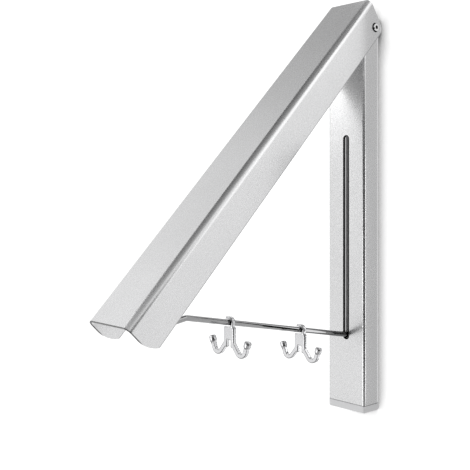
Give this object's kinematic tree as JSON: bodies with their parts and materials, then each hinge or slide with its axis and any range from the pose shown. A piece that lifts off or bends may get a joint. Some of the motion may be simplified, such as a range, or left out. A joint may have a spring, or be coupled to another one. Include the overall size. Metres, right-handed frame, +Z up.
{
  "type": "folding wall clothing rack",
  "caption": "Wall-fixed folding clothes rack: a channel arm swings out from a slotted channel base and props on a steel rod that carries clip-on double hooks.",
  "frame": {"origin": "middle of the four wall screw holes, on the wall plane", "axes": "+X right along the wall, +Y into the wall, +Z up; the arm points to -Y"},
  "size_m": [0.0684, 0.3617, 0.4788],
  "materials": {
    "satin_aluminium": "satin anodised, fine bead-blast grain",
    "black_plastic": "matt",
    "black_rubber": "matt",
    "zinc_steel": "bright zinc",
    "grey_plastic": "silver-grey moulded",
    "steel_screw": "machined",
    "white_nylon": "natural nylon",
    "polished_rod": "polished stainless",
    "hook_metal": "nickel-plated casting"
  },
  "bodies": {
    "root": {"base_channel": "satin_aluminium", "slot_liner": "black_plastic", "slot_buffer": "black_rubber", "upper_wall_bracket": "zinc_steel", "lower_wall_bracket": "zinc_steel", "bottom_cap": "grey_plastic", "lock_screw": "steel_screw", "hinge_tube": "zinc_steel", "hinge_screws": "steel_screw", "hinge_washers": "zinc_steel"},
    "cover": {"hinge_bushes": "black_plastic", "cover_channel": "satin_aluminium", "pivot_bracket": "zinc_steel", "bracket_studs": "steel_screw", "bracket_nuts": "steel_screw", "pivot_pin": "steel_screw", "pivot_clip": "steel_screw"},
    "rod": {"hanging_rod": "polished_rod", "rod_sleeve": "zinc_steel", "cross_pin": "steel_screw", "guide_rollers": "white_nylon"},
    "front_hook": {"front_hook": "hook_metal"},
    "rear_hook": {"rear_hook": "hook_metal"}
  },
  "joints": [
    {"name": "cover_fold", "type": "hinge", "parent": "root", "child": "cover", "pos_m": [0, -0.012, 0.233], "axis": [1, 0, 0], "range_deg": [0, 45]},
    {"name": "rod_swing", "type": "hinge", "parent": "cover", "child": "rod", "pos_m": [0, -0.34752, -0.07494], "axis": [1, 0, 0], "range_deg": [0, 51.86]},
    {"name": "front_hook_removal", "type": "slide", "parent": "rod", "child": "front_hook", "axis": [1, 0, 0], "range_m": [0, 0.2501]},
    {"name": "rear_hook_removal", "type": "slide", "parent": "rod", "child": "rear_hook", "axis": [1, 0, 0], "range_m": [0, 0.2501]}
  ],
  "couplings": [
    {"joint": "rod_swing", "follows": "cover_fold", "ratio": 1.1522},
    {"joint": "front_hook_removal", "follows": "cover_fold", "m_per_rad": 0.31831},
    {"joint": "rear_hook_removal", "follows": "cover_fold", "m_per_rad": 0.31831}
  ]
}
